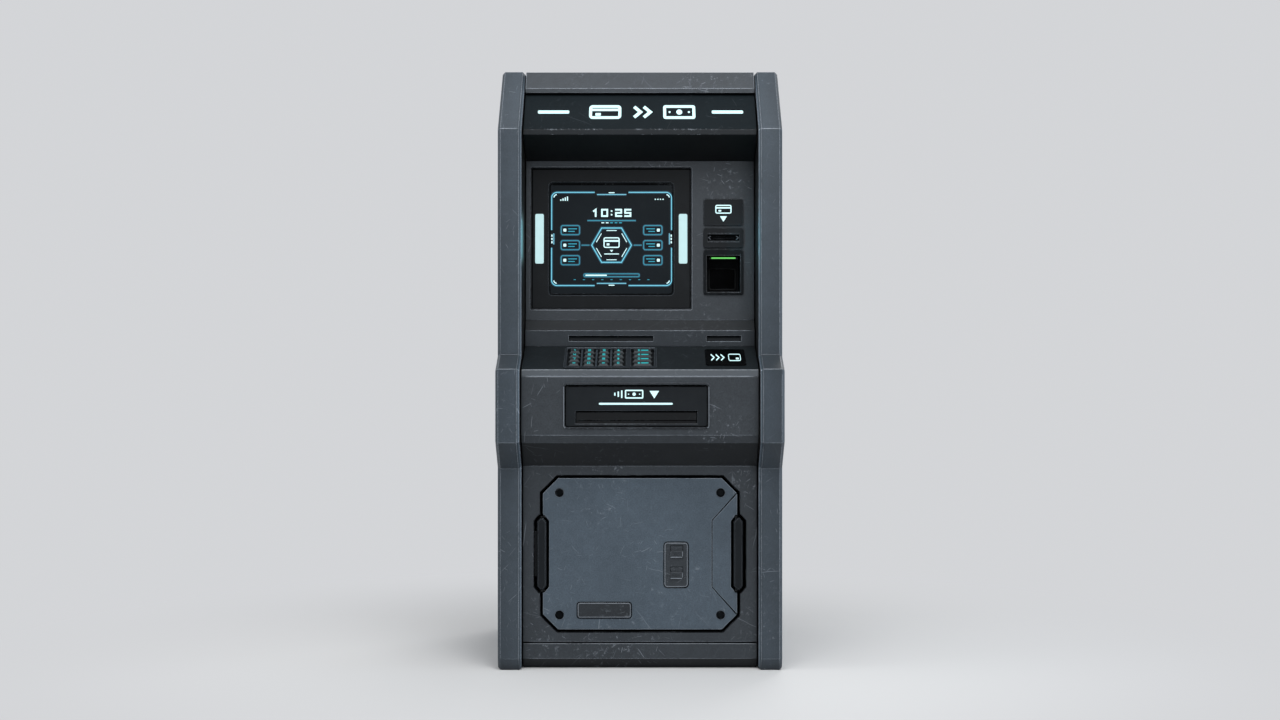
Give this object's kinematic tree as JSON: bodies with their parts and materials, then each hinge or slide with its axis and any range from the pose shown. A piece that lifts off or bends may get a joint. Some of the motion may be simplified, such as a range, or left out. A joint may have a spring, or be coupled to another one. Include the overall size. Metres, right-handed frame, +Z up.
{
  "type": "atm machine",
  "caption": "Free-standing cash machine with a lit display, keypad shelf, cash slot, card reader and a hinged service door over a safe.",
  "frame": {"origin": "on the floor, in the middle of the machine's outer box", "axes": "+Z up; +X to the customer's right; the customer stands on the -Y side"},
  "size_m": [0.748, 0.88, 1.6],
  "materials": {
    "side_paint": "blue-grey satin paint, scuffed along its edges",
    "front_paint": "dark grey satin paint with fine scratches",
    "shelf_paint": "near-black satin paint, worn along the nose",
    "black_plastic": "satin black moulding",
    "black_steel": "black painted steel",
    "key_plastic": "satin dark grey, lit cyan marks",
    "screen_glass": "dark glossy display",
    "lamp": "pale cyan-white diffuser, lit",
    "steel": "brushed steel",
    "safe_steel": "dark grey textured paint",
    "paper": "white paper"
  },
  "bodies": {
    "cabinet": {"side_panel_left": "side_paint", "side_panel_right": "side_paint", "top_cover": "front_paint", "header_soffit": "front_paint", "face_panel": "front_paint", "ledge_panel": "front_paint", "cash_panel": "front_paint", "lower_frame": "front_paint", "kick_plate": "front_paint", "sign_panel": "shelf_paint", "keypad_shelf": "shelf_paint", "screen_bezel": "black_plastic", "card_sign": "black_plastic", "card_reader": "black_plastic", "scanner_bay": "black_plastic", "receipt_printer": "black_plastic", "keypad_frame": "black_plastic", "contactless_reader": "black_plastic", "cash_bezel": "black_plastic", "hinge_cover": "black_plastic", "display_screen": "screen_glass", "light_bar_left": "lamp", "light_bar_right": "lamp", "hinge_pin": "steel", "cash_dispenser": "steel", "safe_body": "safe_steel", "computer": "safe_steel"},
    "service_door": {"service_door": "side_paint", "door_liner": "black_steel", "lock_plate": "front_paint", "label_plate": "front_paint"},
    "door_handle": {"door_handle": "black_plastic"},
    "lock_latch_upper": {"lock_latch_upper": "front_paint"},
    "lock_latch_lower": {"lock_latch_lower": "front_paint"},
    "cash_shutter": {"cash_shutter": "black_steel"},
    "cassette_upper": {"cassette_upper": "black_plastic"},
    "cassette_lower": {"cassette_lower": "black_plastic"},
    "rear_door": {"rear_door": "front_paint"},
    "rear_lock": {"rear_lock": "steel"},
    "paper_roll": {"paper_roll": "paper"},
    "key_1_1": {"key_1_1": "key_plastic"},
    "key_1_2": {"key_1_2": "key_plastic"},
    "key_1_3": {"key_1_3": "key_plastic"},
    "key_1_4": {"key_1_4": "key_plastic"},
    "key_2_1": {"key_2_1": "key_plastic"},
    "key_2_2": {"key_2_2": "key_plastic"},
    "key_2_3": {"key_2_3": "key_plastic"},
    "key_2_4": {"key_2_4": "key_plastic"},
    "key_3_1": {"key_3_1": "key_plastic"},
    "key_3_2": {"key_3_2": "key_plastic"},
    "key_3_3": {"key_3_3": "key_plastic"},
    "key_3_4": {"key_3_4": "key_plastic"},
    "key_4_1": {"key_4_1": "key_plastic"},
    "key_4_2": {"key_4_2": "key_plastic"},
    "key_4_3": {"key_4_3": "key_plastic"},
    "key_4_4": {"key_4_4": "key_plastic"},
    "key_function_1": {"key_function_1": "key_plastic"},
    "key_function_2": {"key_function_2": "key_plastic"},
    "key_function_3": {"key_function_3": "key_plastic"},
    "key_function_4": {"key_function_4": "key_plastic"}
  },
  "joints": [
    {"name": "service_door_hinge", "type": "hinge", "parent": "cabinet", "child": "service_door", "pos_m": [-0.25975, -0.328, 0.3038], "axis": [0, 0, -1], "range_deg": [0, 110]},
    {"name": "door_handle_pull", "type": "hinge", "parent": "service_door", "child": "door_handle", "pos_m": [0.25375, -0.328, 0.3038], "axis": [0, 0, -1], "range_deg": [0, 20], "stiffness_Nm_per_rad": 1.5, "springref_deg": -5.73},
    {"name": "lock_latch_upper_slide", "type": "slide", "parent": "service_door", "child": "lock_latch_upper", "axis": [0, 0, 1], "range_m": [0, 0.014]},
    {"name": "lock_latch_lower_slide", "type": "slide", "parent": "service_door", "child": "lock_latch_lower", "axis": [0, 0, 1], "range_m": [0, 0.014]},
    {"name": "cash_shutter_slide", "type": "slide", "parent": "cabinet", "child": "cash_shutter", "axis": [0, 0, 1], "range_m": [0, 0.034]},
    {"name": "cassette_upper_slide", "type": "slide", "parent": "cabinet", "child": "cassette_upper", "axis": [0, -1, 0], "range_m": [0, 0.05]},
    {"name": "cassette_lower_slide", "type": "slide", "parent": "cabinet", "child": "cassette_lower", "axis": [0, -1, 0], "range_m": [0, 0.05]},
    {"name": "rear_door_hinge", "type": "hinge", "parent": "cabinet", "child": "rear_door", "pos_m": [-0.2685, 0.432, 1.07], "axis": [0, 0, 1], "range_deg": [0, 110]},
    {"name": "rear_lock_turn", "type": "hinge", "parent": "rear_door", "child": "rear_lock", "pos_m": [0.24, 0.426, 1.07], "axis": [0, 1, 0], "range_deg": [0, 90]},
    {"name": "paper_roll_spin", "type": "hinge", "parent": "cabinet", "child": "paper_roll", "pos_m": [0.226, -0.08569, 0.93576], "axis": [1, 0, 0], "continuous": true},
    {"name": "key_1_1_press", "type": "slide", "parent": "cabinet", "child": "key_1_1", "axis": [0, 0.3665, -0.9304], "range_m": [0, 0.0018], "stiffness_N_per_m": 400, "springref_m": -0.002},
    {"name": "key_1_2_press", "type": "slide", "parent": "cabinet", "child": "key_1_2", "axis": [0, 0.3665, -0.9304], "range_m": [0, 0.0018], "stiffness_N_per_m": 400, "springref_m": -0.002},
    {"name": "key_1_3_press", "type": "slide", "parent": "cabinet", "child": "key_1_3", "axis": [0, 0.3665, -0.9304], "range_m": [0, 0.0018], "stiffness_N_per_m": 400, "springref_m": -0.002},
    {"name": "key_1_4_press", "type": "slide", "parent": "cabinet", "child": "key_1_4", "axis": [0, 0.3665, -0.9304], "range_m": [0, 0.0018], "stiffness_N_per_m": 400, "springref_m": -0.002},
    {"name": "key_2_1_press", "type": "slide", "parent": "cabinet", "child": "key_2_1", "axis": [0, 0.3665, -0.9304], "range_m": [0, 0.0018], "stiffness_N_per_m": 400, "springref_m": -0.002},
    {"name": "key_2_2_press", "type": "slide", "parent": "cabinet", "child": "key_2_2", "axis": [0, 0.3665, -0.9304], "range_m": [0, 0.0018], "stiffness_N_per_m": 400, "springref_m": -0.002},
    {"name": "key_2_3_press", "type": "slide", "parent": "cabinet", "child": "key_2_3", "axis": [0, 0.3665, -0.9304], "range_m": [0, 0.0018], "stiffness_N_per_m": 400, "springref_m": -0.002},
    {"name": "key_2_4_press", "type": "slide", "parent": "cabinet", "child": "key_2_4", "axis": [0, 0.3665, -0.9304], "range_m": [0, 0.0018], "stiffness_N_per_m": 400, "springref_m": -0.002},
    {"name": "key_3_1_press", "type": "slide", "parent": "cabinet", "child": "key_3_1", "axis": [0, 0.3665, -0.9304], "range_m": [0, 0.0018], "stiffness_N_per_m": 400, "springref_m": -0.002},
    {"name": "key_3_2_press", "type": "slide", "parent": "cabinet", "child": "key_3_2", "axis": [0, 0.3665, -0.9304], "range_m": [0, 0.0018], "stiffness_N_per_m": 400, "springref_m": -0.002},
    {"name": "key_3_3_press", "type": "slide", "parent": "cabinet", "child": "key_3_3", "axis": [0, 0.3665, -0.9304], "range_m": [0, 0.0018], "stiffness_N_per_m": 400, "springref_m": -0.002},
    {"name": "key_3_4_press", "type": "slide", "parent": "cabinet", "child": "key_3_4", "axis": [0, 0.3665, -0.9304], "range_m": [0, 0.0018], "stiffness_N_per_m": 400, "springref_m": -0.002},
    {"name": "key_4_1_press", "type": "slide", "parent": "cabinet", "child": "key_4_1", "axis": [0, 0.3665, -0.9304], "range_m": [0, 0.0018], "stiffness_N_per_m": 400, "springref_m": -0.002},
    {"name": "key_4_2_press", "type": "slide", "parent": "cabinet", "child": "key_4_2", "axis": [0, 0.3665, -0.9304], "range_m": [0, 0.0018], "stiffness_N_per_m": 400, "springref_m": -0.002},
    {"name": "key_4_3_press", "type": "slide", "parent": "cabinet", "child": "key_4_3", "axis": [0, 0.3665, -0.9304], "range_m": [0, 0.0018], "stiffness_N_per_m": 400, "springref_m": -0.002},
    {"name": "key_4_4_press", "type": "slide", "parent": "cabinet", "child": "key_4_4", "axis": [0, 0.3665, -0.9304], "range_m": [0, 0.0018], "stiffness_N_per_m": 400, "springref_m": -0.002},
    {"name": "key_function_1_press", "type": "slide", "parent": "cabinet", "child": "key_function_1", "axis": [0, 0.3665, -0.9304], "range_m": [0, 0.0018], "stiffness_N_per_m": 400, "springref_m": -0.002},
    {"name": "key_function_2_press", "type": "slide", "parent": "cabinet", "child": "key_function_2", "axis": [0, 0.3665, -0.9304], "range_m": [0, 0.0018], "stiffness_N_per_m": 400, "springref_m": -0.002},
    {"name": "key_function_3_press", "type": "slide", "parent": "cabinet", "child": "key_function_3", "axis": [0, 0.3665, -0.9304], "range_m": [0, 0.0018], "stiffness_N_per_m": 400, "springref_m": -0.002},
    {"name": "key_function_4_press", "type": "slide", "parent": "cabinet", "child": "key_function_4", "axis": [0, 0.3665, -0.9304], "range_m": [0, 0.0018], "stiffness_N_per_m": 400, "springref_m": -0.002}
  ]
}
